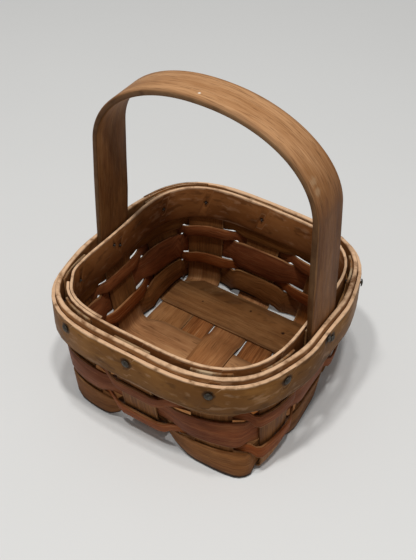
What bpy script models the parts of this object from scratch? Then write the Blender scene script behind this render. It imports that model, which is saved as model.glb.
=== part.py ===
"""A square splint basket with a stationary bent handle, built strip by strip.

Six boards cross on the floor and turn up as twelve uprights. Five weavers go round them, in and out, and
three bands nailed round the top clamp the uprights and the thinned ends of the handle.
X runs from left to right along the front wall, Y from front to back and Z up, all in metres.
"""
import math

import bmesh
import bpy
import numpy as np
from mathutils import Vector

# Body. The rim is drawn in at the handle's legs, its corners lag a little to the left, and two of them, the
# front left and the back right one, are squarer.
# The base leans: its rear edge is narrower than its front edge and lies further to the left.
rim_half_width = 0.065
wall_flare = 0.0096
rim_corner_lag = 0.0015
rim_waist = 0.0013
rim_waist_power = 5
base_shift_back = 0.0019
base_front_shift = 0.0026
base_rear_shift = -0.0040
base_rear_narrowing = 0.0044
base_bow = 0.0022
left_board_bow = 0.0008
rim_squareness = 3.3
squarer_corner_shares = (0.8, 0.35)
base_squareness = 8.0

# Clearance between neighbours and the overrun of every cut
fit_gap = 0.0003
cut_overrun = 0.002

# Boards. Their widths follow the rim: 19.7 mm, and 25.5 mm on the floor for a cross board, at a half of 65.
board_width_share = 19.7 / 65
cross_board_floor_share = 25.5 / 65
board_width = rim_half_width * board_width_share
cross_board_floor_width = rim_half_width * cross_board_floor_share
board_thickness = 0.0011
floor_taper_length = 0.009
board_top_drop = 0.0009
fold_height = 0.004
soft_fold_height = 0.0048
middle_climb_run = 0.009
front_rise = 0.0065
front_rise_reach = 0.042
front_rise_side_run = 0.0155
floor_seam = 0.0005
floor_front_light_gap = 0.0022
floor_rear_light_gap = 0.0010
filler_end_inset = 0.0035

# Weavers
wide_weaver_width = 0.0164
narrow_weaver_width = 0.0072
weaver_thickness = 0.0011
lowest_edge = 0.0009
row_pitch = 0.0205
row_gap = 0.00035
edge_draw = 0.0016
window_gap = 0.0008
narrow_dip = 0.004
bottom_row_lift = 0.004
bottom_row_top_lift = 0.0016
front_row_top_lift = 0.0018
bottom_row_lean = 0.0006
weaver_lap = 0.030
weaver_lap_end = 0.0003

# Rim bands
outer_band_thickness = 0.0023
outer_band_top = 0.0691
outer_band_height = 0.0226
outer_band_round = 0.0006
face_band_thickness = 0.0017
face_band_drop = 0.0031
face_band_height = 0.0175
inner_band_thickness = 0.0013
inner_band_top = 0.070
inner_band_height = 0.0198
band_lap = 0.034
band_lap_end = 0.0005
inner_lap_run = 0.010

# Handle
handle_height = 0.170
leg_width_share = 22.8 / 65
bulge_run_share = 22 / 65
leg_width = rim_half_width * leg_width_share
crown_width = 0.0194
handle_thickness = 0.0032
handle_round = 0.0008
handle_half_span = 0.0591
handle_arch_rise = 0.0435
handle_arch_squareness = 2.12
tongue_thickness = 0.0019
tongue_end_height = 0.048
tongue_shoulder_length = 0.008
tongue_side_slack = 0.002
bulge_run = rim_half_width * bulge_run_share

# Tacks and nails. The tacks stand at a share of the face band's height.
tack_height_share = 11.7 / 17.5
tack_head_radius = 0.0024
tack_head_height = 0.0009
tack_shank_radius = 0.0006
tack_point_length = 0.0009
nail_head_radius = 0.0019
nail_side_step = 0.0044
nail_height_step = 0.0032
nail_side_offset = 0.002

# Middle of each upright, as shares of a quarter of the outline measured from the middle of its wall.
# Front and back walls read from left to right, side walls from front to back.
front_base_shares = (-0.400, -0.060, 0.343)
front_rim_shares = (-0.367, -0.022, 0.367)
back_base_shares = (-0.378, -0.048, 0.312)
back_rim_shares = (-0.376, -0.043, 0.347)
left_base_shares = (-0.324, 0.001, 0.360)
left_rim_shares = (-0.314, 0.0, 0.367)
right_base_shares = (-0.324, 0.001, 0.360)
right_rim_shares = (-0.319, 0.0, 0.386)

# Points across a board, and how the outer boards of the floor spread away from the middle
across_shares = (-1.0, -0.5, 0.0, 0.5, 1.0)
settle_start_share = 0.45

# Uprights are numbered round the basket from the front left one. A board joins a pair of them.
# The handle's legs stand at the ends of the middle cross board.
front_cross_pair = (11, 3)
middle_cross_pair = (10, 4)
rear_cross_pair = (9, 5)
left_long_pair = (0, 8)
middle_long_pair = (1, 7)
right_long_pair = (2, 6)
front_middle_upright = middle_long_pair[0]
leg_uprights = middle_cross_pair

# Weavers are numbered from the bottom. The ends of each ring lap at one of the uprights.
bottom_row = 0
top_row = 4
weaver_lap_uprights = (6, 9, 8, 7, 10)
outer_band_lap_upright = 8
face_band_lap_upright = 7.4
inner_band_lap_upright = 11.4

# Fineness
outline_steps = 2400
crossing_steps = 5
band_crossing_steps = 3
fold_steps = 4
rise_steps = 5
arch_steps = 24
head_sides = 8
hole_sides = 6

# Colours
natural_splint = (0.250, 0.130, 0.062)
warm_splint = (0.215, 0.098, 0.046)
red_splint = (0.165, 0.052, 0.026)
band_wood = (0.270, 0.130, 0.058)
handle_wood = (0.340, 0.170, 0.078)
tack_metal = (0.075, 0.080, 0.065)

# Derived places
wall_half_gap = (board_thickness + weaver_thickness + 3 * fit_gap) / 2
wall_swing = (board_thickness + weaver_thickness) / 2 + fit_gap
rim_board_shift = wall_half_gap - fit_gap - board_thickness / 2
rim_weaver_swing = wall_half_gap - fit_gap - weaver_thickness / 2
narrow_swing = wall_swing + rim_board_shift
face_band_inner = rim_half_width - face_band_thickness
outer_band_outer = face_band_inner - fit_gap
rim_wall_half_width = outer_band_outer - outer_band_thickness - wall_half_gap
base_half_width = rim_half_width - wall_flare
base_wall_half_width = base_half_width - board_thickness / 2
wide_middles = [lowest_edge + wide_weaver_width / 2 + row_pitch * row for row in range(3)]
top_row_bottom = wide_middles[2] - wide_weaver_width / 2
wall_height = top_row_bottom - row_gap
board_top = outer_band_top - board_top_drop
outer_band_bottom = outer_band_top - outer_band_height
face_band_top = outer_band_top - face_band_drop
face_band_bottom = face_band_top - face_band_height
tack_height = face_band_bottom + face_band_height * tack_height_share
inner_band_bottom = inner_band_top - inner_band_height
inner_band_outer_offset = -wall_half_gap
inner_band_inner_offset = inner_band_outer_offset - inner_band_thickness
leg_bulge = tongue_thickness + fit_gap
flat_half = board_width / 2 + fit_gap
layer_step = board_thickness + fit_gap
layer_heights = [board_thickness / 2 + layer_step * layer for layer in range(3)]


class Outline:
    """A closed rounded square, read by turns: 0 in the middle of the front, 1 in that of the right side."""

    def __init__(self, squareness, corner_shares, place):
        angles = np.linspace(0, 2 * math.pi, outline_steps + 1)
        front_left, back_right = corner_shares
        corner_share = blend(back_right, front_left, (1 + np.cos(angles + math.pi / 4)) / 2)
        power = squareness + corner_share * (1 - np.sin(2 * angles)) / 2
        spread = np.abs(np.sin(angles)) ** power + np.abs(np.cos(angles)) ** power
        reach = spread ** (-1 / power)
        self.points = np.stack(place(reach * np.sin(angles), -reach * np.cos(angles)), axis=1)
        steps = np.linalg.norm(np.diff(self.points, axis=0), axis=1)
        self.lengths = np.concatenate([[0], np.cumsum(steps)])
        self.quarter = self.lengths[-1] / 4

    def at(self, turn):
        length = (turn * self.quarter) % self.lengths[-1]
        return np.array([np.interp(length, self.lengths, self.points[:, axis]) for axis in range(2)])

    def direction(self, turn):
        step = 8 / outline_steps
        along = self.at(turn + step) - self.at(turn - step)
        return along / np.linalg.norm(along)


def blend(start, end, share):
    return start + (end - start) * share


def place_rim(across, depth):
    half = rim_wall_half_width - rim_waist * (1 - depth ** 2) ** rim_waist_power
    return half * across - rim_corner_lag * depth ** 2, rim_wall_half_width * depth


def place_base(across, depth):
    """The base from shares of its half width: narrower and further left at the rear, bowed to the right."""
    rearward = (1 + depth) / 2
    half = base_wall_half_width - base_rear_narrowing * rearward
    x = half * across + blend(base_front_shift, base_rear_shift, rearward) + base_bow * (1 - depth ** 2)
    return x, base_wall_half_width * depth + base_shift_back


base_outline = Outline(base_squareness, (0, 0), place_base)
rim_outline = Outline(rim_squareness, squarer_corner_shares, place_rim)


def smooth_step(share):
    share = min(max(share, 0), 1)
    return share * share * (3 - 2 * share)


def wall_place(base_turn, rim_turn, height, offset=0):
    """A point on the middle surface of the wall, moved outwards by the offset."""
    share = min(max(height / wall_height, 0), 1)
    place = blend(base_outline.at(base_turn), rim_outline.at(rim_turn), share)
    along = blend(base_outline.direction(base_turn), rim_outline.direction(rim_turn), share)
    along = along / np.linalg.norm(along)
    outward = np.array([along[1], -along[0]])
    place = place + outward * offset
    return Vector((place[0], place[1], height))


def list_uprights():
    """Base turn and rim turn of the twelve uprights, in order round the basket from the front left."""
    uprights = []
    for base_share, rim_share in zip(front_base_shares, front_rim_shares):
        uprights.append((base_share, rim_share))
    for base_share, rim_share in zip(right_base_shares, right_rim_shares):
        uprights.append((1 + base_share, 1 + rim_share))
    for base_share, rim_share in zip(reversed(back_base_shares), reversed(back_rim_shares)):
        uprights.append((2 - base_share, 2 - rim_share))
    for base_share, rim_share in zip(reversed(left_base_shares), reversed(left_rim_shares)):
        uprights.append((3 - base_share, 3 - rim_share))
    return uprights


uprights = list_uprights()
upright_count = len(uprights)


class Round:
    """The way round the wall at one height, measured in metres from the first upright."""

    def __init__(self, height):
        share = min(height / wall_height, 1)
        self.numbers = list(range(-upright_count, 3 * upright_count))
        self.base_turns = []
        self.rim_turns = []
        for number in self.numbers:
            base_turn, rim_turn = uprights[number % upright_count]
            laps = 4 * (number // upright_count)
            self.base_turns.append(base_turn + laps)
            self.rim_turns.append(rim_turn + laps)
        base_lengths = np.array(self.base_turns) * base_outline.quarter
        rim_lengths = np.array(self.rim_turns) * rim_outline.quarter
        self.lengths = blend(base_lengths, rim_lengths, share)
        self.total = self.lengths[upright_count] - self.lengths[0]

    def length_at(self, number):
        return float(np.interp(number, self.numbers, self.lengths))

    def turns_at(self, length):
        base_turn = float(np.interp(length, self.lengths, self.base_turns))
        rim_turn = float(np.interp(length, self.lengths, self.rim_turns))
        return base_turn, rim_turn

    def wave(self, length):
        """+1 at even uprights, -1 at odd ones, and a half cosine between them."""
        index = int(np.searchsorted(self.lengths, length, side="right")) - 1
        sign = 1 if self.numbers[index] % 2 == 0 else -1
        reach = self.lengths[index + 1] - self.lengths[index]
        passed = length - self.lengths[index]
        crossing = (passed - flat_half) / (reach - 2 * flat_half)
        crossing = min(max(crossing, 0), 1)
        return sign * math.cos(math.pi * crossing)

    def stations(self, start, end, steps):
        """Lengths at which a strip has a section, from start to end."""
        places = {start, end}
        for index in range(len(self.numbers) - 1):
            first = self.lengths[index]
            second = self.lengths[index + 1]
            crossing_start = first + flat_half
            crossing_end = second - flat_half
            candidates = [first, first + flat_half / 2, second - flat_half / 2]
            for step in range(steps + 1):
                candidates.append(blend(crossing_start, crossing_end, step / steps))
            for place in candidates:
                if start + fit_gap < place < end - fit_gap:
                    places.add(float(place))
        return sorted(places)


def new_material(name, colour, roughness, metallic=0.0):
    material = bpy.data.materials.new(name)
    material.use_nodes = True
    shader = material.node_tree.nodes["Principled BSDF"]
    shader.inputs["Base Color"].default_value = (*colour, 1)
    shader.inputs["Roughness"].default_value = roughness
    shader.inputs["Metallic"].default_value = metallic
    material.diffuse_color = (*colour, 1)
    return material


def add_object(name, shape, material):
    mesh = bpy.data.meshes.new(name)
    bmesh.ops.recalc_face_normals(shape, faces=shape.faces)
    shape.to_mesh(mesh)
    shape.free()
    piece = bpy.data.objects.new(name, mesh)
    bpy.context.collection.objects.link(piece)
    if material is not None:
        mesh.materials.append(material)
    return piece


def add_loft(shape, sections):
    """One closed body through equal rings of points, with a flat cap at each end."""
    rings = [[shape.verts.new(point) for point in section] for section in sections]
    count = len(rings[0])
    for ring, following in zip(rings, rings[1:]):
        for index in range(count):
            after = (index + 1) % count
            shape.faces.new((ring[index], ring[after], following[after], following[index]))
    shape.faces.new(rings[0][::-1])
    shape.faces.new(rings[-1])


def build_loft(name, sections, material):
    shape = bmesh.new()
    add_loft(shape, sections)
    return add_object(name, shape, material)


def lap_faces(along, total, thickness, lap, lap_end):
    """Inner and outer face of a ring whose ends are shaved to lie over each other in one thickness."""
    inner = -thickness / 2
    outer = thickness / 2
    grow = (thickness - fit_gap - 2 * lap_end) / lap
    if along < lap + fit_gap * 3 / 4:
        outer = inner + lap_end + grow * min(along, lap)
    if along > total - fit_gap * 3 / 4:
        inner = outer - lap_end - grow * min(total + lap - along, lap)
    return inner, outer


def lap_stations(way, start, lap, steps):
    """Stations of a ring with its lap, and the short steps where each shaved part begins."""
    places = way.stations(start, start + way.total + lap, steps)
    places = [place for place in places
              if abs(place - start - lap) > 2 * fit_gap and abs(place - start - way.total) > 2 * fit_gap]
    places += [start + lap + fit_gap / 2, start + lap + fit_gap]
    places += [start + way.total - fit_gap, start + way.total - fit_gap / 2]
    return sorted(places)


def weaver_edges(number, swing_share, by_front_middle):
    """Height of the lower and upper edge of a weaver where it has swung out (+1) or in (-1)."""
    settled = smooth_step((abs(swing_share) - settle_start_share) / (1 - settle_start_share))
    outside = settled if swing_share > 0 else 0
    inside = settled if swing_share < 0 else 0
    if number % 2 == 0:
        middle = wide_middles[number // 2]
        half = wide_weaver_width / 2 - edge_draw * (1 - settled)
    else:
        middle = wide_middles[number // 2] + row_pitch / 2 - narrow_dip * outside
        crossing_width = row_pitch - wide_weaver_width + 2 * edge_draw - 2 * window_gap
        half = blend(crossing_width, narrow_weaver_width, settled) / 2
    low = middle - half
    high = middle + half
    if number == bottom_row:
        low = lowest_edge + bottom_row_lift * inside
        high += bottom_row_top_lift * inside
        if by_front_middle:
            low += front_rise * (1 - swing_share) / 2
            high += front_row_top_lift * inside
    return low, high


def weaver_swing(number):
    if number == top_row:
        return rim_weaver_swing
    if number % 2 == 1:
        return narrow_swing
    return wall_swing


def build_weaver(name, number, material):
    """One weaver. Even numbers pass outside the even uprights."""
    way = Round(wide_middles[0] + row_pitch * number / 2)
    side = 1 if number % 2 == 0 else -1
    start = way.length_at(weaver_lap_uprights[number])
    sections = []
    for length in lap_stations(way, start, weaver_lap, crossing_steps):
        swing_share = side * way.wave(length)
        inner, outer = lap_faces(length - start, way.total, weaver_thickness, weaver_lap, weaver_lap_end)
        offset = weaver_swing(number) * swing_share
        before = way.length_at(front_middle_upright - 1)
        after = way.length_at(front_middle_upright + 1)
        by_front_middle = before < length < after or before < length - way.total < after
        low, high = weaver_edges(number, swing_share, by_front_middle)
        lean = 0
        if number == bottom_row and swing_share < 0:
            lean = -bottom_row_lean * swing_share * swing_share
        base_turn, rim_turn = way.turns_at(length)
        sections.append([
            wall_place(base_turn, rim_turn, low, offset + lean + inner),
            wall_place(base_turn, rim_turn, low, offset + lean + outer),
            wall_place(base_turn, rim_turn, high, offset + outer),
            wall_place(base_turn, rim_turn, high, offset + inner),
        ])
    return build_loft(name, sections, material)


def leg_bulge_at(way, length):
    """How far the outer bands stand out to pass round a leg of the handle."""
    flat = leg_width / 2 + tongue_side_slack
    bulge = 0
    for number in leg_uprights:
        centre = way.length_at(number)
        distance = abs((length - centre + way.total / 2) % way.total - way.total / 2)
        bulge = max(bulge, leg_bulge * smooth_step(1 - (distance - flat) / bulge_run))
    return bulge


def band_section(turns, inner, outer, bottom, top, edge_round):
    """A flat section, with its two upper edges taken off where an edge round is given."""
    base_turn, rim_turn = turns
    corners = [(inner, bottom), (outer, bottom)]
    if edge_round > 0:
        corners += [(outer, top - edge_round), (outer - edge_round, top)]
        corners += [(inner + edge_round, top), (inner, top - edge_round)]
    else:
        corners += [(outer, top), (inner, top)]
    return [wall_place(base_turn, rim_turn, height, offset) for offset, height in corners]


def build_outer_band(name, inner_offset, thickness, bottom, top, lap_upright, edge_round, material):
    """A band outside the uprights, with shaved ends, that stands out round both legs of the handle."""
    way = Round(wall_height)
    start = way.length_at(lap_upright)
    middle = inner_offset + thickness / 2
    sections = []
    for length in lap_stations(way, start, band_lap, band_crossing_steps):
        inner, outer = lap_faces(length - start, way.total, thickness, band_lap, band_lap_end)
        offset = middle + leg_bulge_at(way, length)
        shaved = min(edge_round, (outer - inner) / 3)
        turns = way.turns_at(length)
        sections.append(band_section(turns, offset + inner, offset + outer, bottom, top, shaved))
    return build_loft(name, sections, material)


def build_inner_band(name, lap_upright, material):
    """The inner band: its second end lies over the first on the inside of the basket."""
    way = Round(wall_height)
    start = way.length_at(lap_upright)
    places = way.stations(start, start + way.total + band_lap, band_crossing_steps)
    ramp_start = start + way.total - inner_lap_run - fit_gap
    for step in range(fold_steps + 1):
        places.append(ramp_start + inner_lap_run * step / fold_steps)
    sections = []
    for length in sorted(places):
        inward = smooth_step((length - ramp_start) / inner_lap_run) * (inner_band_thickness + fit_gap)
        inner = inner_band_inner_offset - inward
        outer = inner_band_outer_offset - inward
        turns = way.turns_at(length)
        sections.append(band_section(turns, inner, outer, inner_band_bottom, inner_band_top, 0))
    return build_loft(name, sections, material)


def board_shift(number, height):
    """In the rim an upright gives way to the top weaver, inwards at even uprights."""
    ramp_bottom = wall_height - narrow_weaver_width + row_gap
    share = (height - ramp_bottom) / (wall_height - ramp_bottom)
    side = -1 if number % 2 == 0 else 1
    return side * rim_board_shift * min(max(share, 0), 1)


def wall_line(number, side, across, floor_height, fold):
    """Middle line of one upright from its top to its fold: places and outward directions, then its turns."""
    base_turn, rim_turn = uprights[number]
    base_turn += side * across * board_width / 2 / base_outline.quarter
    rim_turn += side * across * board_width / 2 / rim_outline.quarter
    ramp_bottom = wall_height - narrow_weaver_width + row_gap
    fold_top = floor_height + fold
    heights = [board_top, blend(board_top, wall_height, 1 / 2), wall_height, ramp_bottom]
    for share in (3 / 4, 1 / 2, 1 / 4):
        heights.append(blend(fold_top, ramp_bottom, share))
    heights.append(fold_top)
    line = []
    for height in heights:
        middle = wall_place(base_turn, rim_turn, height, board_shift(number, height))
        outward = wall_place(base_turn, rim_turn, height, 1) - wall_place(base_turn, rim_turn, height)
        line.append((middle, outward))
    return line, (base_turn, rim_turn)


def floor_rise(x, y):
    """How far the floor stands up at a place: most where the middle long board meets the front wall."""
    middle = base_outline.at(uprights[front_middle_upright][0])
    sideways = (abs(x - middle[0]) - flat_half) / front_rise_side_run
    rearwards = (y - middle[1]) / front_rise_reach
    return front_rise * (1 - smooth_step(sideways)) * (1 - smooth_step(rearwards))


def rise_columns():
    """Places from left to right where the floor's rise is followed."""
    middle = base_outline.at(uprights[front_middle_upright][0])[0]
    reaches = [flat_half + front_rise_side_run * step / rise_steps for step in range(rise_steps + 1)]
    return [middle - reach for reach in reversed(reaches)] + [middle + reach for reach in reaches]


def rise_rows():
    """Places from front to back where the floor's rise is followed: lines across the front cross board."""
    left_end, right_end = [base_outline.at(uprights[number][0])[1] for number in front_cross_pair]
    centre = blend(left_end, right_end, 1 / 2) - (cross_board_floor_width - board_width) / 2
    rows = [centre + across * cross_board_floor_width / 2 for across in across_shares]
    reach_end = base_outline.at(uprights[front_middle_upright][0])[1] + front_rise_reach
    return rows + [blend(rows[-1], reach_end, 1 / 2), reach_end]


def bow_at(pair, share):
    """How far a long board stands to the right, at a share of its way from front wall to back wall."""
    bow = left_board_bow if pair == left_long_pair else base_bow
    return bow * (1 - (2 * share - 1) ** 2)


def fold_line(wall, corner, end):
    """The bend of a board from the foot of the wall to the floor."""
    top, outward = wall[-1]
    down = Vector((0, 0, -1))
    line = []
    for step in range(1, fold_steps + 1):
        share = step / fold_steps
        bend = top.lerp(corner, share).lerp(corner.lerp(end, share), share)
        line.append((bend, outward.lerp(down, share).normalized()))
    return line


def join_board(first_wall, first_corner, second_wall, second_corner, fold, floor_places):
    """Middle line of a whole board: down one wall, over the floor places and up the other wall."""
    down = Vector((0, 0, -1))
    line = first_wall + fold_line(first_wall, first_corner, floor_places[0])
    line += [(place, down) for place in floor_places[1:-1]]
    return line + (second_wall + fold_line(second_wall, second_corner, floor_places[-1]))[::-1]


def long_board_line(pair, across, fold):
    """A long board at one place across it. The middle one climbs over the middle cross board."""
    first, second = pair
    floor_height = layer_heights[0]
    front_base_turn = uprights[first][0] + across * board_width / 2 / base_outline.quarter
    front_x, front_y = base_outline.at(front_base_turn)
    raised_height = floor_height + floor_rise(front_x, front_y)
    front_wall, front_turns = wall_line(first, 1, across, raised_height, fold)
    rear_wall, rear_turns = wall_line(second, -1, across, floor_height, fold)
    front_corner = wall_place(*front_turns, raised_height)
    rear_corner = wall_place(*rear_turns, floor_height)
    start = wall_place(*front_turns, floor_height)
    if pair == middle_long_pair:
        wanted = rise_rows() + climb_rows()
    else:
        wanted = [blend(start.y, rear_corner.y, share) for share in (1 / 3, 2 / 3)]
    rows = [start.y + fold, rear_corner.y - fold]
    rows += [row for row in wanted if start.y + 2 * fold < row < rear_corner.y - fold]
    places = []
    for row in sorted(rows):
        share = (row - start.y) / (rear_corner.y - start.y)
        x = blend(start.x, rear_corner.x, share) + bow_at(pair, share)
        height = floor_height + floor_rise(x, row)
        if pair == middle_long_pair:
            height += climb_over_middle(row)
        places.append(Vector((x, row, height)))
    return join_board(front_wall, front_corner, rear_wall, rear_corner, fold, places)


def climb_rows():
    """Places from front to back where the middle long board climbs over the middle cross board."""
    centre = wall_place(*uprights[leg_uprights[0]], 0).y
    half = cross_board_floor_width / 2 + fit_gap
    reaches = [half + middle_climb_run * step / fold_steps for step in range(fold_steps + 1)]
    return [centre - reach for reach in reversed(reaches)] + [centre + reach for reach in reaches]


def climb_over_middle(row):
    centre = wall_place(*uprights[leg_uprights[0]], 0).y
    half = cross_board_floor_width / 2 + fit_gap
    return 2 * layer_step * smooth_step(1 - (abs(row - centre) - half) / middle_climb_run)


def cross_board_line(pair, across, outer_side):
    """A cross board at one place across it. On the floor it is wider, and an outer one spreads outwards."""
    fold = fold_height
    floor_height = layer_heights[1]
    left_wall, left_turns = wall_line(pair[0], -1, across, floor_height, fold)
    right_wall, right_turns = wall_line(pair[1], 1, across, floor_height, fold)
    left_corner = wall_place(*left_turns, floor_height)
    right_corner = wall_place(*right_turns, floor_height)
    run = (right_corner - left_corner).normalized()
    spread = Vector((0, (cross_board_floor_width - board_width) * (across + outer_side) / 2, 0))
    places = [left_corner + run * fold, left_corner + run * (fold + floor_taper_length) + spread]
    if outer_side < 0:
        for column in rise_columns():
            reach = (column - left_corner.x) / run.x
            place = left_corner + run * reach + spread
            place.z += floor_rise(place.x, place.y)
            places.append(place)
    places += [right_corner - run * (fold + floor_taper_length) + spread, right_corner - run * fold]
    return join_board(left_wall, left_corner, right_wall, right_corner, fold, places)


def build_board(name, line_at, material):
    lines = [line_at(across) for across in across_shares]
    sections = []
    for station in zip(*lines):
        outer = [middle + outward * board_thickness / 2 for middle, outward in station]
        inner = [middle - outward * board_thickness / 2 for middle, outward in station]
        sections.append(outer + inner[::-1])
    return build_loft(name, sections, material)


def build_long_board(name, pair, fold, material):
    def line_at(across):
        return long_board_line(pair, across, fold)
    return build_board(name, line_at, material)


def build_cross_board(name, pair, outer_side, material):
    def line_at(across):
        return cross_board_line(pair, across, outer_side)
    return build_board(name, line_at, material)


def floor_line_x(pair, across, y):
    """Where an edge of a long board lies on the floor at a given place from front to back."""
    half_turn = across * board_width / 2 / base_outline.quarter
    front = base_outline.at(uprights[pair[0]][0] + half_turn)
    rear = base_outline.at(uprights[pair[1]][0] - half_turn)
    share = (y - front[1]) / (rear[1] - front[1])
    return blend(front[0], rear[0], share) + bow_at(pair, share)


def build_filler(name, left_pair, left_gaps, right_pair, material):
    """A short splint between two long boards, its ends under the outer cross boards."""
    rows = rise_rows()
    front_end = rows[0] + filler_end_inset
    rear_board = base_outline.at(uprights[rear_cross_pair[0]][0])[1]
    rear_end = rear_board + cross_board_floor_width - board_width / 2 - filler_end_inset
    rows = [front_end] + [row for row in rows if row > front_end + fit_gap] + [0, rear_end]
    edges = []
    for row in rows:
        gap = blend(*left_gaps, (row - front_end) / (rear_end - front_end))
        edges.append((floor_line_x(left_pair, 1, row) + gap, floor_line_x(right_pair, -1, row) - floor_seam))
    leftmost = min(left for left, right in edges)
    rightmost = max(right for left, right in edges)
    columns = [column for column in rise_columns() if leftmost < column < rightmost]
    sections = []
    for row, (left, right) in zip(rows, edges):
        inner = []
        for number, column in enumerate(columns, start=1):
            column = max(column, left + floor_seam * number)
            inner.append(min(column, right - floor_seam * (len(columns) + 1 - number)))
        under = [Vector((x, row, floor_rise(x, row))) for x in (left, *inner, right)]
        over = [place + Vector((0, 0, board_thickness)) for place in reversed(under)]
        sections.append(under + over)
    return build_loft(name, sections, material)


def handle_outer_line():
    """Outer face of the handle's right half, from the foot up: places, outward directions, thicknesses."""
    foot_reach = rim_wall_half_width - rim_waist + wall_half_gap + tongue_thickness
    arch_base = handle_height - handle_arch_rise
    shoulder_top = outer_band_top
    shoulder_bottom = shoulder_top - tongue_shoulder_length
    lean = (handle_half_span - foot_reach) / (arch_base - shoulder_top)
    straight_outward = Vector((1, 0, -lean)).normalized()
    line = [
        (Vector((foot_reach, 0, tongue_end_height)), Vector((1, 0, 0)), tongue_thickness),
        (Vector((foot_reach, 0, shoulder_bottom)), Vector((1, 0, 0)), tongue_thickness),
        (Vector((foot_reach, 0, shoulder_top)), Vector((1, 0, -lean / 2)).normalized(), handle_thickness),
    ]
    for share in (1 / 3, 2 / 3):
        height = blend(shoulder_top, arch_base, share)
        reach = blend(foot_reach, handle_half_span, share)
        line.append((Vector((reach, 0, height)), straight_outward, handle_thickness))
    power = 2 / handle_arch_squareness
    half_steps = arch_steps // 2
    arch = []
    for step in range(half_steps + 1):
        angle = math.pi / 2 * step / half_steps
        x = handle_half_span * math.cos(angle) ** power if step < half_steps else 0
        z = arch_base + handle_arch_rise * math.sin(angle) ** power
        arch.append(Vector((x, 0, z)))
    for index, place in enumerate(arch):
        if index == 0:
            outward = straight_outward
        elif index == half_steps:
            outward = Vector((0, 0, 1))
        else:
            along = arch[index + 1] - arch[index - 1]
            outward = Vector((along.z, 0, -along.x)).normalized()
        line.append((place, outward, handle_thickness))
    return line


def handle_section(place, outward, thickness):
    """A flat section with all four long edges taken off. The handle narrows a little towards the crown."""
    arch_base = handle_height - handle_arch_rise
    half = blend(leg_width, crown_width, smooth_step((place.z - arch_base) / handle_arch_rise)) / 2
    edge = min(handle_round, thickness / 3)
    corners = [
        (half - edge, 0), (half, -edge), (half, edge - thickness), (half - edge, -thickness),
        (edge - half, -thickness), (-half, edge - thickness), (-half, -edge), (edge - half, 0),
    ]
    return [place + outward * depth + Vector((0, across, 0)) for across, depth in corners]


def build_handle(name, material):
    right_half = [handle_section(*station) for station in handle_outer_line()]
    left_half = [[Vector((-point.x, point.y, point.z)) for point in section] for section in right_half]
    sections = left_half[:-1] + right_half[::-1]
    return build_loft(name, sections, material)


def ring_of(place, outward, radius, sides):
    side = outward.orthogonal().normalized()
    up = outward.cross(side)
    ring = []
    for step in range(sides):
        angle = 2 * math.pi * (step + 1 / 2) / sides
        ring.append(place + side * (radius * math.cos(angle)) + up * (radius * math.sin(angle)))
    return ring


def fastener_places():
    """Where each tack and nail goes through the rim: the point on the wall's middle, and the way out."""
    way = Round(wall_height)
    tacks = []
    nails = []
    for number in range(upright_count):
        length = way.length_at(number)
        if number not in leg_uprights:
            tacks.append((length, tack_height, 0))
            continue
        side = 1 if number == leg_uprights[0] else -1
        for step in (-1, 1):
            along = length + side * (nail_side_offset + step * nail_side_step / 2)
            nails.append((along, tack_height + nail_height_step * (step + 1) / 2, leg_bulge))
    placed = []
    for group in (tacks, nails):
        places = []
        for length, height, bulge in group:
            base_turn, rim_turn = way.turns_at(length)
            middle = wall_place(base_turn, rim_turn, height)
            outward = (wall_place(base_turn, rim_turn, height, 1) - middle).normalized()
            places.append((middle, outward, bulge))
        placed.append(places)
    return placed


def build_fasteners(name, places, head_radius, bulge, material):
    """Copies of one round-headed tack: the head on the face band, the blunt point just inside the rim."""
    seat = rim_half_width - rim_wall_half_width + bulge + fit_gap
    tip = inner_band_inner_offset - tack_point_length
    rings = [
        (tip, tack_shank_radius / 2), (tip + tack_point_length, tack_shank_radius), (seat, tack_shank_radius),
        (seat, head_radius), (seat + tack_head_height / 2, head_radius),
        (seat + tack_head_height, head_radius / 2),
    ]
    shape = bmesh.new()
    up = Vector((0, 0, 1))
    add_loft(shape, [ring_of(up * reach, up, radius, head_sides) for reach, radius in rings])
    first = add_object(name + "_1", shape, material)
    for number, (middle, outward, _) in enumerate(places, start=1):
        piece = first if number == 1 else bpy.data.objects.new(f"{name}_{number}", first.data)
        if number > 1:
            bpy.context.collection.objects.link(piece)
        piece.location = middle
        piece.rotation_mode = "QUATERNION"
        piece.rotation_quaternion = outward.to_track_quat("Z", "Y")


def build_hole_cutter(places):
    shape = bmesh.new()
    for middle, outward, bulge in places:
        reach = rim_half_width - rim_wall_half_width + bulge + cut_overrun
        depth = inner_band_inner_offset - cut_overrun
        radius = (tack_shank_radius + fit_gap) / math.cos(math.pi / hole_sides)
        add_loft(shape, [ring_of(middle + outward * place, outward, radius, hole_sides)
                         for place in (depth, reach)])
    cutter = add_object("hole_cutter", shape, None)
    cutter.hide_render = True
    cutter.display_type = "WIRE"
    return cutter


def cut_holes(pieces, cutter):
    for piece in pieces:
        cut = piece.modifiers.new("holes", "BOOLEAN")
        cut.operation = "DIFFERENCE"
        cut.solver = "EXACT"
        cut.object = cutter


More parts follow.
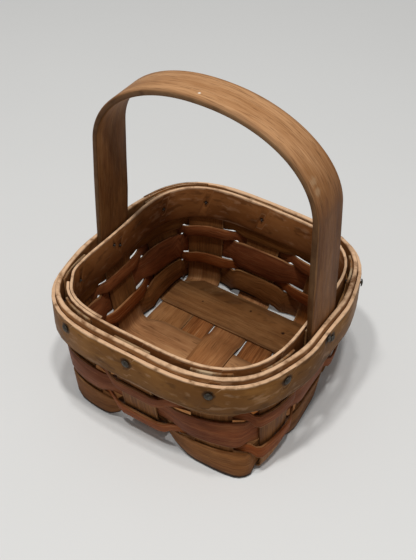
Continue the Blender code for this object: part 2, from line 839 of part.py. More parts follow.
def build_basket():
    for item in list(bpy.data.objects):
        bpy.data.objects.remove(item, do_unlink=True)
    natural = new_material("natural splint", natural_splint, 0.62)
    warm = new_material("warm splint", warm_splint, 0.62)
    red = new_material("red splint", red_splint, 0.6)
    band = new_material("band wood", band_wood, 0.55)
    bent = new_material("handle wood", handle_wood, 0.5)
    metal = new_material("tack metal", tack_metal, 0.45, 0.8)

    boards = [
        build_cross_board("cross_board_front", front_cross_pair, -1, natural),
        build_cross_board("cross_board_middle", middle_cross_pair, 0, natural),
        build_cross_board("cross_board_back", rear_cross_pair, 1, natural),
        build_long_board("long_board_left", left_long_pair, fold_height, warm),
        build_long_board("long_board_middle", middle_long_pair, soft_fold_height, warm),
        build_long_board("long_board_right", right_long_pair, fold_height, warm),
    ]
    seams = (floor_seam, floor_seam)
    light_gaps = (floor_front_light_gap, floor_rear_light_gap)
    build_filler("floor_filler_left", left_long_pair, seams, middle_long_pair, red)
    build_filler("floor_filler_right", middle_long_pair, light_gaps, right_long_pair, red)

    rows = [("weaver_bottom_wide", natural), ("weaver_lower_narrow", red), ("weaver_middle_wide", red),
            ("weaver_upper_narrow", red), ("weaver_top_wide", natural)]
    for number, (name, material) in enumerate(rows):
        build_weaver(name, number, material)

    outer_band = build_outer_band("rim_outer_band", wall_half_gap, outer_band_thickness, outer_band_bottom,
                                  outer_band_top, outer_band_lap_upright, outer_band_round, band)
    face_band = build_outer_band("rim_face_band", face_band_inner - rim_wall_half_width, face_band_thickness,
                                 face_band_bottom, face_band_top, face_band_lap_upright, 0, band)
    inner_band = build_inner_band("rim_inner_band", inner_band_lap_upright, band)
    handle = build_handle("handle", bent)

    tacks, nails = fastener_places()
    build_fasteners("band_tack", tacks, tack_head_radius, 0, metal)
    build_fasteners("handle_nail", nails, nail_head_radius, leg_bulge, metal)
    cutter = build_hole_cutter(tacks + nails)
    cut_holes(boards + [outer_band, face_band, inner_band, handle], cutter)


build_basket()
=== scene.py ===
# %% [markdown]
# # A small square splint basket with a bent handle
#
# The basket is woven from flat strips of split wood. Six boards cross on the floor and turn up as twelve
# uprights, five weavers go round them in and out, three bands are nailed round the top, and one bent handle
# stands between the weave and the bands. The model that this script loads has all of these strips with
# square edges and one plain colour each. This script gives them eased edges, grain that runs along each
# strip, worn and cut ends, and round tack heads, and sets up the floor, the light and the camera.

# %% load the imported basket
import math

import bpy
import numpy as np
from mathutils import Matrix, Vector


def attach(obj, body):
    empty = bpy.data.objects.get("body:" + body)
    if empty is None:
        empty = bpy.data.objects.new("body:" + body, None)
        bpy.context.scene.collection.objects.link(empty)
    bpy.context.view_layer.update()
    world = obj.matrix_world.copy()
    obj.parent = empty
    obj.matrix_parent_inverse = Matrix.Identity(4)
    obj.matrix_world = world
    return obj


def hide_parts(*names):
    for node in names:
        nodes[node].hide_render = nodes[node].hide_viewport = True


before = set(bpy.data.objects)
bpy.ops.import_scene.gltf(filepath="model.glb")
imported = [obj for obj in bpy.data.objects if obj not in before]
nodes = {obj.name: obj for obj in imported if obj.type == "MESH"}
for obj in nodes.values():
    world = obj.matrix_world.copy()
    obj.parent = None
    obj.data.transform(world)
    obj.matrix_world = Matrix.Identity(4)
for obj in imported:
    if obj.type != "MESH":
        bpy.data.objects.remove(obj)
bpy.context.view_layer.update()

millimetre = 0.001

# %% [markdown]
# ## The camera
#
# The photograph looks down into the basket from the front right, from a little more than 40 degrees above
# the table. The place, the tilt and the focal length were fitted to the rim, the handle and the corners of
# the floor, so the camera is placed by these few values instead of by eye.

# %% set up the camera
azimuth = 0.574
elevation = 0.743
roll = 0.008
distance = 0.4952
aim_left = 0.0015
aim_height = 0.05
aim_right = -0.000455
aim_up = 0.009164
focal_share = 1000 / 560
sensor_height = 36
nearest_view = 0.01

back = Vector((math.sin(azimuth) * math.cos(elevation), -math.cos(azimuth) * math.cos(elevation),
               math.sin(elevation)))
level_right = Vector((math.cos(azimuth), math.sin(azimuth), 0))
level_up = back.cross(level_right)
view_right = level_right * math.cos(roll) + level_up * math.sin(roll)
view_up = level_up * math.cos(roll) - level_right * math.sin(roll)
eye = Vector((-aim_left, 0, aim_height)) + back * distance + view_right * aim_right + view_up * aim_up

camera = bpy.data.objects.new("camera", bpy.data.cameras.new("camera"))
bpy.context.scene.collection.objects.link(camera)
camera.data.sensor_fit = "VERTICAL"
camera.data.sensor_height = sensor_height
camera.data.lens = focal_share * sensor_height
camera.data.clip_start = nearest_view
camera.matrix_world = Matrix.Translation(eye) @ Matrix((view_right, view_up, back)).transposed().to_4x4()
bpy.context.scene.camera = camera
print("camera at", [round(c, 3) for c in eye], "lens", round(camera.data.lens, 1))

# %% [markdown]
# ## Shader maths as Python
#
# A wood finish is a few patterns added and mixed. Wiring the nodes one by one hides what they do, so a small
# class wraps one output socket: adding or multiplying two of them adds the Math node. A second class
# holds one material and makes any other node from its type, its settings and what goes into its sockets.

# %% a wrapped socket and a finish
class Wire:
    """One output of a node. Python's operators on it add Math nodes."""

    def __init__(self, finish, socket):
        self.finish = finish
        self.socket = socket

    def maths(self, operation, first, second):
        return self.finish.node("ShaderNodeMath", {"operation": operation}, {0: first, 1: second})

    def __add__(self, other):
        return self.maths("ADD", self, other)

    __radd__ = __add__

    def __sub__(self, other):
        return self.maths("SUBTRACT", self, other)

    def __rsub__(self, other):
        return self.maths("SUBTRACT", other, self)

    def __mul__(self, other):
        return self.maths("MULTIPLY", self, other)

    __rmul__ = __mul__

    def size(self):
        """The value without its sign."""
        return self.finish.node("ShaderNodeMath", {"operation": "ABSOLUTE"}, {0: self})

    def below(self, other):
        """The smaller of two values."""
        return self.maths("MINIMUM", self, other)


class Finish:
    """One material, and short ways to add nodes to it."""

    def __init__(self, name):
        self.material = bpy.data.materials.new(name)
        self.material.use_nodes = True
        self.tree = self.material.node_tree
        self.shader = self.tree.nodes["Principled BSDF"]

    def fill(self, node, values):
        for key, value in values.items():
            if isinstance(value, Wire):
                self.tree.links.new(value.socket, node.inputs[key])
            else:
                node.inputs[key].default_value = value

    def node(self, kind, settings=None, values=None, output=0):
        node = self.tree.nodes.new(kind)
        for key, value in (settings or {}).items():
            setattr(node, key, value)
        self.fill(node, values or {})
        return Wire(self, node.outputs[output])

    def point(self, x, y, z):
        return self.node("ShaderNodeCombineXYZ", {}, {"X": x, "Y": y, "Z": z})

    def noise(self, place, detail=3.0, roughness=0.55, distortion=0.0):
        values = {"Vector": place, "Scale": 1.0, "Detail": detail, "Roughness": roughness,
                  "Distortion": distortion}
        return self.node("ShaderNodeTexNoise", {}, values)

    def step(self, value, low, high):
        """0 below low, 1 above high, and a smooth rise between them."""
        values = {"Value": value, "From Min": low, "From Max": high}
        return self.node("ShaderNodeMapRange", {"interpolation_type": "SMOOTHSTEP"}, values)

    def axis(self, place, name):
        """X, Y or Z of a place."""
        return self.node("ShaderNodeSeparateXYZ", {}, {0: place}, output=name)

    def times(self, place, scale):
        """A place with all three numbers multiplied."""
        values = {0: place, 1: (scale, scale, scale)}
        return self.node("ShaderNodeVectorMath", {"operation": "MULTIPLY"}, values)

    def reach(self, place, mark_place):
        """How far one place is from another."""
        values = {0: place, 1: mark_place}
        return self.node("ShaderNodeVectorMath", {"operation": "DISTANCE"}, values, output=1)

    def mix(self, share, first, second, kind="MIX"):
        """A colour between two colours."""
        return self.node("ShaderNodeMix", {"data_type": "RGBA", "blend_type": kind},
                         {0: share, 6: first, 7: second}, output=2)

    def finish(self, **sockets):
        names = {"colour": "Base Color", "roughness": "Roughness", "metallic": "Metallic", "normal": "Normal",
                 "coat": "Coat Weight", "coat_roughness": "Coat Roughness", "gloss": "Specular IOR Level"}
        self.fill(self.shader, {names[key]: value for key, value in sockets.items()})
        return self.material


def colour(red, green, blue):
    """A colour written as it looks on a screen, from 0 to 255, as the linear numbers that a shader takes."""
    shares = [channel / 255 for channel in (red, green, blue)]
    linear = [share / 12.92 if share <= 0.04045 else ((share + 0.055) / 1.055) ** 2.4 for share in shares]
    return (*linear, 1)


print("shader helpers ready")

# %% [markdown]
# ## Split wood
#
# A splint is peeled or split along the grain, so its fibres run from one end to the other, whatever way the
# strip bends. One axis of the basket always lies across each strip: X on the long boards, Y on the cross
# boards and the handle, Z on the weavers and bands. Noise that is slow along the strip and fast across it
# makes the fibres. The place across the strip comes from an attribute that runs from -1 to 1 between its two
# edges, so the grain follows a strip that dips or leans. Old stain is the rest of the look: it is darker in
# soft cloudy patches and in short open pores, rubbed to a paler brown in others, and scratched pale where
# the strip was knocked. Iron turns wood black, so there is a dark ring round every tack.

# %% the noises in one strip
waves_along = {"patch": 26, "long": 18, "middle": 42, "fine": 120}
waves_across = {"patch": 130, "long": 330, "middle": 1300, "fine": 2600}
cloud_waves = 62
rub_waves = 210


class Grain:
    """The noises that the finish of one strip is mixed from, stretched along the strip."""

    def __init__(self, finish, axis, half_width, seed):
        self.finish = finish
        self.axis = axis
        self.half_width = half_width
        self.place = finish.node("ShaderNodeTexCoord", output="Object")
        self.across = finish.node("ShaderNodeAttribute", {"attribute_name": "across"}, output="Fac")
        self.height = finish.axis(self.place, "Z")
        self.streaks = finish.noise(self.stretched("long", seed), 4, 0.6)
        self.fibres = finish.noise(self.stretched("middle", seed + 3), 4, 0.65)
        self.pores = finish.noise(self.stretched("fine", seed + 7), 2, 0.5)
        self.lines = finish.noise(self.stretched("fine", seed + 19), 3, 0.55)
        self.patches = finish.noise(self.stretched("patch", seed + 31), 3, 0.5)
        self.clouds = finish.noise(finish.times(self.place, cloud_waves), 3, 0.55, 0.3)
        self.rubs = finish.noise(finish.times(self.place, rub_waves), 3, 0.6)

    def stretched(self, size, seed):
        """Object coordinates, but with the attribute across the strip, and long along the grain."""
        parts = []
        for name in "XYZ":
            if name == self.axis:
                parts.append(self.across * (self.half_width * waves_across[size]) + seed)
            else:
                parts.append(self.finish.axis(self.place, name) * waves_along[size] + seed)
        return self.finish.point(*parts)


print("waves per metre across a strip:", waves_across)

# %% three browns and open pores
def darker(tone, share):
    return (*[part * share for part in tone[:3]], 1)


def stain(grain, dark, middle, light, streaking):
    """Three browns, mixed by streaks, fibres and soft patches."""
    mix, step = grain.finish.mix, grain.finish.step
    soft = grain.patches * 0.7 + grain.clouds * 0.3
    base = mix(step(grain.streaks, 0.34, 0.62) * streaking + 0.6 * (1 - streaking), dark, middle)
    base = mix(step(grain.fibres, 0.44, 0.68) * (0.65 * streaking), base, light)
    base = mix(step(soft, 0.50, 0.66) * 0.5, base, darker(dark, 0.8))
    return mix(step(soft, 0.36, 0.50) * -0.4 + 0.4, base, light)


def upper_tone(grain, base, start, end, wobble, *tones):
    """Other browns from a ragged height upwards."""
    mix, step = grain.finish.mix, grain.finish.step
    dark, light = [colour(*tone) for tone in tones]
    upper = mix(step(grain.fibres * 0.5 + grain.patches * 0.5, 0.36, 0.64), dark, light)
    return mix(step(grain.height + (grain.patches - 0.5) * wobble, start, end), base, upper)


def open_pores(grain, base, dark, worn):
    mix, step = grain.finish.mix, grain.finish.step
    base = mix(step(grain.pores, 0.54, 0.68) * 0.5, base, darker(dark, 0.45))
    return mix(step(grain.lines, 0.54, 0.70) * 0.16, base, worn)


print("the stain mixes three browns and darker pores")

# %% worn, shaded and frayed places
# The tone of the painted shadow along the foot of the bottom weaver
foot_shadow_tone = (24, 18, 14)
scratch_tone = (190, 164, 130)
frayed_tone = (158, 134, 104)
frayed_length = 1.5 * millimetre
frayed_wobble = 4 * millimetre


def crevice_shade_and_worn_edges(grain, base, dark, worn, wear):
    """A dark line inside each edge, painted shade of the crevices between strips, and bare wood on the edge
    itself.
    """
    mix, step = grain.finish.mix, grain.finish.step
    ragged = (grain.across.size() + (grain.fibres - 0.5) * 0.3 + (grain.streaks - 0.5) * 0.35
              + (grain.patches - 0.5) * 0.4)
    # painted shade: a dark line inside each edge stands for the shade in the crevice between strips
    base = mix(step(ragged, 0.74, 0.98) * 0.5, base, darker(dark, 0.55))
    return mix(step(ragged, 0.93, 1.06) * wear, base, worn)


def worn_top(grain, base, worn, top_wear):
    """Bare wood in patches on the upper edge of a band."""
    mix, step = grain.finish.mix, grain.finish.step
    handled = step(grain.across + (grain.fibres - 0.5) * 0.3, 0.84, 1.0)
    rubbed = handled * step(grain.rubs * 0.6 + grain.lines * 0.4, 0.30, 0.54)
    return mix(rubbed * top_wear, base, worn)


def painted_foot_shadow(grain, base, foot_shadow):
    """Painted shadow along the lower edge, where the gap under the basket is dark."""
    mix, step = grain.finish.mix, grain.finish.step
    low = step(0 - grain.across + (grain.fibres - 0.5) * 0.2, 0.74, 0.92)
    # painted shadow: the lower edge is darkened towards black
    return mix(low * foot_shadow, base, colour(*foot_shadow_tone))


def scratches(grain, base):
    mix, step = grain.finish.mix, grain.finish.step
    return mix(step(grain.fibres * 0.75 + grain.rubs * 0.25, 0.62, 0.68) * 0.2, base, colour(*scratch_tone))


def shaded_edges(grain, base, share):
    """The two narrow sides of a strip, darkened by a share, as painted shade."""
    mix, step = grain.finish.mix, grain.finish.step
    # painted shade on the narrow sides
    shaded = mix(1.0, base, (share, share, share, 1), "MULTIPLY")
    return mix(step(grain.across.size(), 0.94, 0.985), base, shaded)


def frayed_end(grain, base, cut_height):
    """Pale fibres where an upright is cut off."""
    mix, step = grain.finish.mix, grain.finish.step
    height = grain.height + (grain.fibres - 0.5) * frayed_wobble
    frayed = step(height, cut_height - frayed_length, cut_height)
    return mix(frayed * step(grain.rubs, 0.35, 0.6) * 0.75, base, colour(*frayed_tone))


print("cut ends are frayed over", round(frayed_length / millimetre, 1), "mm")

# %% marks and tack rings
iron_stain = (34, 24, 18)
ring_wobble = 2 * millimetre


def marked(grain, base, place, radius, tone, strength):
    """One spot with a ragged outline, such as a knot or a chip."""
    wobble = radius * 1.6
    away = grain.finish.reach(grain.place, place) + (grain.lines - 0.5) * wobble + (grain.rubs - 0.5) * wobble
    inside = 1 - grain.finish.step(away, radius * 0.3, radius)
    return grain.finish.mix(inside * strength, base, colour(*tone))


def tack_rings(grain, base, places, inner, outer):
    """Black stain at the tacks, fading a little way from them."""
    away = grain.finish.reach(grain.place, places[0])
    for place in places[1:]:
        away = away.below(grain.finish.reach(grain.place, place))
    ring = 1 - grain.finish.step(away + (grain.rubs - 0.5) * ring_wobble, inner, outer)
    return grain.finish.mix(ring * 0.75, base, colour(*iron_stain))


print("the stain round a tack is", iron_stain)

# %% the finish of one strip
wood_relief = 0.2 * millimetre
wood_roughness = 0.55


def wood(name, axis, half_width, seed, tones, worn, wear=0.4, gloss=0.12, cut_height=None, tacks=None,
         edge_shade=1.0, upper=None, streaking=1.0, top_wear=0.0, foot_shadow=0.0, marks=()):
    """Stained wood with its grain across the given axis, laid on layer by layer."""
    dark, middle, light = [colour(*tone) for tone in tones]
    finish = Finish(name)
    grain = Grain(finish, axis, half_width, seed)
    base = stain(grain, dark, middle, light, streaking)
    if upper is not None:
        base = upper_tone(grain, base, *upper)
    base = open_pores(grain, base, dark, worn)
    base = crevice_shade_and_worn_edges(grain, base, dark, worn, wear)
    if top_wear > 0:
        base = worn_top(grain, base, worn, top_wear)
    if foot_shadow > 0:
        base = painted_foot_shadow(grain, base, foot_shadow)
    base = scratches(grain, base)
    if edge_shade < 1.0:
        base = shaded_edges(grain, base, edge_shade)
    if cut_height is not None:
        base = frayed_end(grain, base, cut_height)
    for mark in marks:
        base = marked(grain, base, *mark)
    if tacks is not None:
        base = tack_rings(grain, base, *tacks)
    relief = grain.streaks * 0.4 + grain.fibres * 0.8 - grain.pores * 0.5 + grain.lines * 0.3
    normal = finish.node("ShaderNodeBump", {}, {"Strength": 0.5, "Distance": wood_relief, "Height": relief})
    roughness = (grain.fibres - 0.5) * 0.35 + (grain.patches - 0.5) * 0.4 + wood_roughness
    return finish.finish(colour=base, roughness=roughness, normal=normal, gloss=gloss)


print("a wood finish has up to eleven layers")

# %% [markdown]
# ## Strips with eased edges
#
# A strip comes from the loaded model as loose triangles with sharp edges. It is copied, its seams are closed,
# its triangles are joined to quads, and a narrow bevel eases the edges, because real splints are scraped and
# handled until their edges catch the light.

# %% copy a strip, close its seams and ease its edges
seam_gap = 0.01 * millimetre
edge_ease = 0.2 * millimetre


def only(piece):
    """Selects one object and nothing else."""
    bpy.ops.object.select_all(action="DESELECT")
    bpy.context.view_layer.objects.active = piece
    piece.select_set(True)


def closed_copy(node_name, piece_name):
    piece = bpy.data.objects.new(piece_name, nodes[node_name].data.copy())
    bpy.context.scene.collection.objects.link(piece)
    only(piece)
    bpy.ops.object.mode_set(mode="EDIT")
    bpy.ops.mesh.select_all(action="SELECT")
    bpy.ops.mesh.remove_doubles(threshold=seam_gap)
    bpy.ops.mesh.tris_convert_to_quads(face_threshold=math.radians(25), shape_threshold=math.radians(60))
    bpy.ops.mesh.normals_make_consistent(inside=False)
    bpy.ops.object.mode_set(mode="OBJECT")
    return piece


def ease_edges(piece, width, segments=2):
    only(piece)
    ease = piece.modifiers.new("ease", "BEVEL")
    ease.width = width
    ease.segments = segments
    ease.limit_method = "ANGLE"
    ease.angle_limit = math.radians(40)
    ease.use_clamp_overlap = False
    bpy.ops.object.modifier_apply(modifier="ease")
    bpy.ops.object.shade_smooth_by_angle(angle=math.radians(50))


print("seams within", round(seam_gap / millimetre, 2), "mm are closed, edges eased by",
      round(edge_ease / millimetre, 1), "mm")

# %% [markdown]
# The handle is bent smoothly, and the loaded model takes its bends in flat steps that would show as facets,
# so the long edges there are cut into shorter ones that follow the bend. Two of the boards are a little wider
# on the floor than the loaded strips, so one edge of each is moved outwards where it lies flat.

# %% finer bends and wider boards
axis_numbers = {"X": 0, "Y": 1, "Z": 2}
rounded = ("handle",)
shortest_cut_edge = 2.2 * millimetre
floor_top = 4.2 * millimetre
floor_half = 44 * millimetre
moved_margin = 2.5 * millimetre
left_board_growth = 2.2 * millimetre
back_board_growth = 0.9 * millimetre
widened_boards = {
    "long_board_left": (Vector((-1, 0, 0)), axis_numbers["Y"], left_board_growth),
    "cross_board_back": (Vector((0, 1, 0)), axis_numbers["X"], back_board_growth),
}


def round_bends(piece, axis, cuts=2):
    """Cuts each long edge into shorter ones that follow the bend, so no flat facet shows at a turn."""
    number = axis_numbers[axis]
    mesh = piece.data
    chosen = []
    for edge in mesh.edges:
        first, second = [mesh.vertices[index] for index in edge.vertices]
        step = second.co - first.co
        turn = first.normal.angle(second.normal, 0)
        runs_along = abs(step[number]) < 0.35 * step.length
        if runs_along and step.length > shortest_cut_edge and math.radians(1) < turn < math.radians(35):
            chosen.append(edge.index)
    only(piece)
    bpy.ops.object.mode_set(mode="EDIT")
    bpy.ops.mesh.select_mode(type="EDGE")
    bpy.ops.mesh.select_all(action="DESELECT")
    bpy.ops.object.mode_set(mode="OBJECT")
    for index in chosen:
        mesh.edges[index].select = True
    bpy.ops.object.mode_set(mode="EDIT")
    if chosen:
        bpy.ops.mesh.subdivide(number_cuts=cuts, smoothness=1.0)
    bpy.ops.mesh.select_mode(type="VERT")
    bpy.ops.object.mode_set(mode="OBJECT")
    return len(chosen)


def widen_floor(piece, direction, along, reach):
    """Moves one edge of a board outwards where it lies flat on the floor."""
    floor_points = [vertex for vertex in piece.data.vertices
                    if vertex.co.z < floor_top and abs(vertex.co[along]) < floor_half]
    edge = max(vertex.co.dot(direction) for vertex in floor_points)
    moved = [vertex for vertex in floor_points if vertex.co.dot(direction) > edge - moved_margin]
    for vertex in moved:
        vertex.co += direction * reach
    print(piece.name, "reaches", round(reach / millimetre, 1), "mm further,", len(moved), "points moved")


print("wider boards:", list(widened_boards))

# %% [markdown]
# The grain needs each point's place across its strip. The faces that look along the cross axis are the two
# edges of the strip, and every other point is measured between them.

# %% measure every point across its strip
batch = 500


def nearest(points, edge_points):
    """Distance from each point to the nearest point of an edge."""
    found = []
    for start in range(0, len(points), batch):
        part = points[start:start + batch]
        found.append(np.sqrt(((part[:, None] - edge_points[None]) ** 2).sum(2)).min(1))
    return np.concatenate(found)


def measure_across(piece, axis):
    """Writes each point's place between the strip's two edges, from -1 to 1, and returns the half width."""
    number = axis_numbers[axis]
    mesh = piece.data
    points = np.array([vertex.co for vertex in mesh.vertices])
    low = set()
    high = set()
    for face in mesh.polygons:
        if face.normal[number] < -0.8:
            low.update(face.vertices)
        elif face.normal[number] > 0.8:
            high.update(face.vertices)
    to_low = nearest(points, points[sorted(low)])
    to_high = nearest(points, points[sorted(high)])
    across = (to_low - to_high) / (to_low + to_high)
    attribute = mesh.attributes.new("across", "FLOAT", "POINT")
    attribute.data.foreach_set("value", across.astype(np.float32))
    return float(np.median(to_low + to_high)) / 2


print("points are measured", batch, "at a time")

# %% make and dress one strip
def make_strip(node_name, axis, ending="splint"):
    piece = closed_copy(node_name, node_name + "_" + ending)
    if node_name in widened_boards:
        widen_floor(piece, *widened_boards[node_name])
    if node_name in rounded:
        print(node_name, round_bends(piece, axis), "edges follow the bend")
    ease_edges(piece, edge_ease)
    half_width = measure_across(piece, axis)
    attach(piece, "root")
    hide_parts(node_name)
    print(piece.name, len(piece.data.polygons), "faces, half width", round(half_width / millimetre, 1), "mm")
    return piece, half_width


def dress(piece, material):
    piece.data.materials.clear()
    piece.data.materials.append(material)


print("strips can be made and dressed")

# %% [markdown]
# ## Boards, uprights and fillers
#
# The three long boards and three cross boards are the floor and, turned up, the uprights. Their tops are cut
# with shears after the rim is nailed, so the wood there is pale and frayed, and splintered at two uprights.
# Every strip has taken the stain a little differently, so each one gets its own three browns. The floor is
# painted lighter than the walls, as painted light from the lamps above it, and the walls keep one darker
# tone. Three small knots show in the back board.

# %% the six boards and the two fillers
board_tops = 68.2 * millimetre
wall_tone_start = 5 * millimetre
wall_tone_end = 13 * millimetre
wall_tone_wobble = 4 * millimetre
# Painted light and shade: the walls keep these darker browns, and the floor below them is painted lighter
wall_tone = (wall_tone_start, wall_tone_end, wall_tone_wobble, (98, 58, 27), (140, 92, 50))
worn_edge = colour(186, 142, 96)
knot_tone = (46, 26, 14)
splinter_tone = (186, 162, 130)

# X, Y, Z and radius in millimetres
knots = ((-30.0, 38.1, 2.8, 0.9), (-3.3, 46.1, 2.8, 1.1), (20.1, 41.1, 2.8, 1.2))
right_splinters = ((56.0, 36.0, 67.5, 5.0),)
front_splinters = ((33.0, -55.0, 67.5, 5.0),)


def marks_from(rows, tone, strength):
    """Marks of one tone, from rows of X, Y, Z and radius in millimetres."""
    marks = []
    for *place, radius in rows:
        marks.append((tuple(part * millimetre for part in place), radius * millimetre, tone, strength))
    return marks


board_marks = {
    "cross_board_back": marks_from(knots, knot_tone, 1.0) + marks_from(right_splinters, splinter_tone, 0.9),
    "long_board_right": marks_from(front_splinters, splinter_tone, 0.9),
}
# The boards' own browns show on the floor, painted lighter there as painted light from the lamps above
boards = {
    "cross_board_front": ("Y", (120, 76, 42), (154, 104, 62), (182, 134, 86)),
    "cross_board_middle": ("Y", (126, 82, 50), (162, 114, 74), (192, 144, 100)),
    "cross_board_back": ("Y", (106, 66, 34), (140, 94, 54), (166, 120, 76)),
    "long_board_left": ("X", (126, 80, 44), (160, 110, 66), (186, 136, 90)),
    "long_board_middle": ("X", (132, 82, 46), (166, 112, 68), (192, 140, 92)),
    "long_board_right": ("X", (118, 68, 30), (150, 94, 46), (176, 122, 66)),
}
filler_tones = ((116, 66, 32), (150, 92, 50), (176, 120, 72))

for number, (name, (axis, *tones)) in enumerate(boards.items()):
    board, half_width = make_strip(name, axis)
    marks = board_marks.get(name, ())
    dress(board, wood(name + " wood", axis, half_width, number * 11.3, tones, worn_edge, wear=0.35,
                      cut_height=board_tops, streaking=0.5, upper=wall_tone, marks=marks))

for number, name in enumerate(("floor_filler_left", "floor_filler_right")):
    filler, half_width = make_strip(name, "X")
    dress(filler, wood(name + " wood", "X", half_width, 70 + number * 9.1, filler_tones, worn_edge,
                       wear=0.35))

# %% [markdown]
# ## Weavers
#
# Wide weavers at the top and the bottom were left in the natural brown. The narrow ones and the wide one
# between them were dyed a brick red that has faded to a red brown. All have fine straight grain, and the
# edges that rub against the uprights are lighter. A dark line inside each edge is painted shade of the
# crevices between strips. The foot of the bottom one is painted black, as painted shadow of the gap under it.

# %% the five weavers
weavers = {
    "weaver_bottom_wide": ("natural_splint", (100, 60, 29), (130, 82, 43), (156, 106, 62)),
    "weaver_lower_narrow": ("red_splint", (106, 50, 20), (138, 74, 34), (162, 98, 54)),
    "weaver_middle_wide": ("red_splint", (98, 49, 27), (130, 72, 41), (154, 97, 60)),
    "weaver_upper_narrow": ("red_splint", (102, 51, 26), (134, 75, 41), (158, 100, 60)),
    "weaver_top_wide": ("natural_splint", (98, 60, 28), (130, 84, 42), (156, 110, 60)),
}
for number, (name, (slot, *tones)) in enumerate(weavers.items()):
    weaver, half_width = make_strip(name, "Z")
    # Only the bottom weaver gets the painted shadow along its foot
    foot_shadow = 0.9 if name == "weaver_bottom_wide" else 0.0
    dress(weaver, wood(name + " wood", "Z", half_width, 120 + number * 13.7, tones, worn_edge, gloss=0.06,
                       streaking=0.7, foot_shadow=foot_shadow))

# %% [markdown]
# ## Where the tacks are
#
# The stain round each tack belongs to the wood of the bands, so the tacks' places are measured on the loaded
# model before the bands are dressed. A tack's axis is found from its points: the mean of the eight innermost
# points is its tip, and the mean of the eight outermost is the middle of its head.

# %% measure every tack
def fastener_axis(node_name):
    """The inner end, the way out, how far out the seat and the top of the head lie, and the head's radius."""
    points = np.array([vertex.co for vertex in nodes[node_name].data.vertices])
    points = np.unique(points.round(7), axis=0)
    axis = points.mean(0) * (1, 1, 0)
    for _ in range(6):
        axis = axis / np.linalg.norm(axis)
        order = np.argsort(points @ axis)
        tip = points[order[:8]].mean(0)
        top = points[order[-8:]].mean(0)
        axis = top - tip
    length = np.linalg.norm(axis)
    axis = axis / length
    reach = (points - tip) @ axis
    radius = np.linalg.norm(points - tip - reach[:, None] * axis, axis=1)
    seat = reach[radius > radius.max() * 0.9].min()
    return Vector(tip), Vector(axis), float(seat), float(length), float(radius.max())


fasteners = {}
for name in sorted(nodes):
    if name.startswith(("band_tack", "handle_nail")):
        fasteners[name] = fastener_axis(name)
print(len(fasteners), "tacks and nails measured")

# %% [markdown]
# ## Rim bands and handle
#
# The bands and the handle are sawn and steamed hardwood, smoother and yellower than the splints. The upper
# edges of the bands are handled most and have worn to bare wood. The crown of the handle is rubbed to a honey
# tone, with a white chip and two pale scuffs, and its narrow sides are painted darker, as painted shade.

# %% the three bands and the handle
bands = {
    "rim_outer_band": ((112, 70, 36), (144, 96, 54), (172, 122, 76)),
    "rim_face_band": ((104, 66, 28), (130, 87, 40), (154, 108, 56)),
    "rim_inner_band": ((104, 60, 30), (134, 84, 44), (160, 108, 64)),
}
band_wear = colour(222, 184, 148)
head_ring = (2.2 * millimetre, 3.6 * millimetre)
tip_ring = (0.6 * millimetre, 2.2 * millimetre)
head_places = [tuple(tip + axis * seat) for tip, axis, seat, length, radius in fasteners.values()]
tip_places = [tuple(tip) for tip, axis, seat, length, radius in fasteners.values()]
for number, (name, tones) in enumerate(bands.items()):
    tacks = (tip_places, *tip_ring) if name == "rim_inner_band" else (head_places, *head_ring)
    band, half_width = make_strip(name, "Z", "band")
    dress(band, wood(name + " wood", "Z", half_width, 210 + number * 17.9, tones, band_wear, wear=0.3,
                     gloss=0.08, tacks=tacks, streaking=0.6, top_wear=0.9))

handle_tones = ((98, 58, 28), (126, 80, 42), (150, 104, 60))
crown_start = 128 * millimetre
crown_end = 168 * millimetre
crown_wobble = 40 * millimetre
crown = (crown_start, crown_end, crown_wobble, (160, 114, 74), (190, 145, 104))

# X, Y, Z and radius in millimetres
chips = ((-3.7, -5.1, 169.9, 0.9),)
scuffs = ((52.3, -6.4, 148.1, 3.0), (54.5, -6.8, 144.5, 2.6))
handle_marks = marks_from(chips, (226, 214, 200), 1.0) + marks_from(scuffs, (176, 148, 116), 0.4)
handle, half_width = make_strip("handle", "Y", "bow")
# The handle's narrow sides get painted shade, darkened to 0.55 of their colour
dress(handle, wood("handle wood", "Y", half_width, 300, handle_tones, colour(196, 152, 106), wear=0.25,
                   edge_shade=0.55, upper=crown, streaking=0.6, marks=handle_marks))

# %% [markdown]
# ## Tacks and nails
#
# The rim is held by small tacks with round, slightly domed heads, dull and dark from age, with rust on their
# tips inside. In the loaded model each head has eight flat sides and is a little wide. So one smooth tack and
# one longer nail are modelled from a disc, with smaller heads, and copied to all of their places.

# %% model one tack
shank_radius = 0.6 * millimetre
head_share = 0.78
dome_shares = ((0.25, 1.04), (0.25, 0.94), (0.22, 0.82), (0.18, 0.62), (0.10, 0.4))


def grow(rise, growth):
    """Extrudes the chosen disc upwards and scales it."""
    bpy.ops.mesh.extrude_region_move(TRANSFORM_OT_translate={"value": (0, 0, rise)})
    bpy.ops.transform.resize(value=(growth, growth, 1))


def model_tack(name, seat, length, head_radius):
    """A pointed shank and a domed head along Z, with the point at the origin."""
    point_length = 1.5 * shank_radius
    bpy.ops.object.select_all(action="DESELECT")
    bpy.ops.mesh.primitive_circle_add(vertices=24, radius=shank_radius / 2, fill_type="NGON",
                                      location=(0, 0, 0))
    tack = bpy.context.object
    tack.name = name
    bpy.ops.object.mode_set(mode="EDIT")
    bpy.ops.mesh.select_all(action="SELECT")
    grow(point_length, 2.0)
    grow(seat - point_length, 1.0)
    grow(0, head_radius / shank_radius)
    for height_share, growth in dome_shares:
        grow(height_share * (length - seat), growth)
    bpy.ops.mesh.select_all(action="SELECT")
    bpy.ops.mesh.normals_make_consistent(inside=False)
    bpy.ops.object.mode_set(mode="OBJECT")
    bpy.ops.object.shade_smooth_by_angle(angle=math.radians(45))
    rust = tack.data.attributes.new("rust", "FLOAT", "POINT")
    rust.data.foreach_set("value", [float(vertex.co.z < seat / 2) for vertex in tack.data.vertices])
    return tack


print("a head has", round(head_share * 100), "% of its measured radius")

# %% the dull metal
tack_relief = 0.15 * millimetre
patina_waves = 900


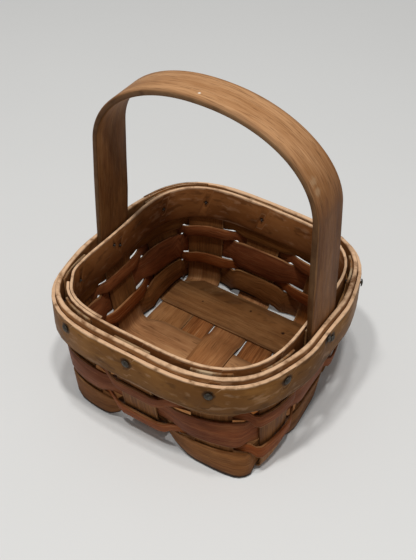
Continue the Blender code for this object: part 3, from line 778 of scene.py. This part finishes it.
def tack_finish(name, dull, bright):
    """Dull metal with a patina, and rust where the attribute says so."""
    finish = Finish(name)
    place = finish.node("ShaderNodeTexCoord", output="Object")
    patina = finish.noise(finish.times(place, patina_waves), 4, 0.6)
    rust = finish.node("ShaderNodeAttribute", {"attribute_name": "rust"}, output="Fac")
    base = finish.mix(finish.step(patina, 0.35, 0.7), dull, bright)
    base = finish.mix(rust, base, colour(38, 24, 16))
    normal = finish.node("ShaderNodeBump", {}, {"Strength": 0.4, "Distance": tack_relief, "Height": patina})
    return finish.finish(colour=base, roughness=patina * 0.35 + 0.4 + rust * 0.2, metallic=0.6 - rust * 0.6,
                         normal=normal)


dull_metal = tack_finish("dull tack metal", colour(44, 38, 32), colour(86, 80, 70))
print("material", dull_metal.name)

# %% copy the tack and the nail to every place
patterns = {}
for name, (tip, axis, seat, length, radius) in fasteners.items():
    kind = name.rsplit("_", 1)[0]
    if kind not in patterns:
        patterns[kind] = model_tack(kind + " pattern", seat, length, radius * head_share)
    tack = bpy.data.objects.new(name + "_metal", patterns[kind].data.copy())
    bpy.context.scene.collection.objects.link(tack)
    tack.data.transform(Matrix.Translation(tip) @ axis.to_track_quat("Z", "Y").to_matrix().to_4x4())
    dress(tack, dull_metal)
    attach(tack, "root")
    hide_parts(name)
for pattern in patterns.values():
    bpy.data.objects.remove(pattern)
print(len(fasteners), "tacks and nails set, copied from", len(patterns), "patterns")

# %% [markdown]
# ## Floor and light
#
# The basket stands on a plain pale floor. The shadows in the photograph tell where its light came from: one
# lies close to the left, two overlap on the right, and all three lie a little further from the camera than
# the basket. So three lamps hang nearly overhead, a little on the camera's side. A lamp's direction follows
# from how far the shadow of the rim is moved over the floor. An even pale world fills the shade.

# %% floor, lamps and world
floor_size = 6
floor_waves = 9
rim_height = 65 * millimetre
lamp_distance = 1.3
lamp_width = 0.09
ambient = 0.25

# How far each lamp moves the rim's shadow to the right and away, in millimetres, and its share of the light
lamps = {"right lamp": (-5, 20, 0.29), "middle lamp": (1.5, 7, 0.20), "left lamp": (13, 16, 0.29)}


def stage_finish(name, tone):
    """A pale matt floor with hardly visible clouds."""
    finish = Finish(name)
    place = finish.node("ShaderNodeTexCoord", output="Object")
    cloud = finish.noise(finish.times(place, floor_waves), 3, 0.5)
    base = finish.mix(cloud, darker(tone, 0.97), tone)
    return finish.finish(colour=base, roughness=0.6, gloss=0.25)


bpy.ops.object.select_all(action="DESELECT")
bpy.ops.mesh.primitive_plane_add(size=floor_size, location=(0, 0, 0))
floor = bpy.context.object
floor.name = "floor"
dress(floor, stage_finish("pale floor", colour(225, 226, 226)))


def hang_lamp(name, moved_right, moved_away, share):
    """A lamp whose light moves the rim's shadow by these lengths on the floor, as the camera sees it."""
    away = Vector((-level_right.y, level_right.x, 0))
    direction = Vector((0, 0, rim_height)) - level_right * moved_right - away * moved_away
    direction.normalize()
    data = bpy.data.lights.new(name, "AREA")
    data.shape = "DISK"
    data.size = lamp_width
    data.energy = share * (math.pi * lamp_distance) ** 2 / direction.z
    data.color = (1.0, 0.985, 0.96)
    lamp = bpy.data.objects.new(name, data)
    bpy.context.scene.collection.objects.link(lamp)
    lamp.location = Vector((0, 0, aim_height)) + direction * lamp_distance
    lamp.rotation_mode = "QUATERNION"
    lamp.rotation_quaternion = direction.to_track_quat("Z", "Y")
    print(name, "tilts", round(math.degrees(direction.angle(Vector((0, 0, 1))))), "degrees")


for name, (moved_right, moved_away, share) in lamps.items():
    hang_lamp(name, moved_right * millimetre, moved_away * millimetre, share)
world = bpy.data.worlds.new("pale world")
bpy.context.scene.world = world
world.use_nodes = True
world.node_tree.nodes["Background"].inputs["Color"].default_value = (1.0, 0.995, 0.985, 1)
world.node_tree.nodes["Background"].inputs["Strength"].default_value = ambient
bpy.context.scene.view_settings.view_transform = "Standard"
print("floor, lamps and world ready")
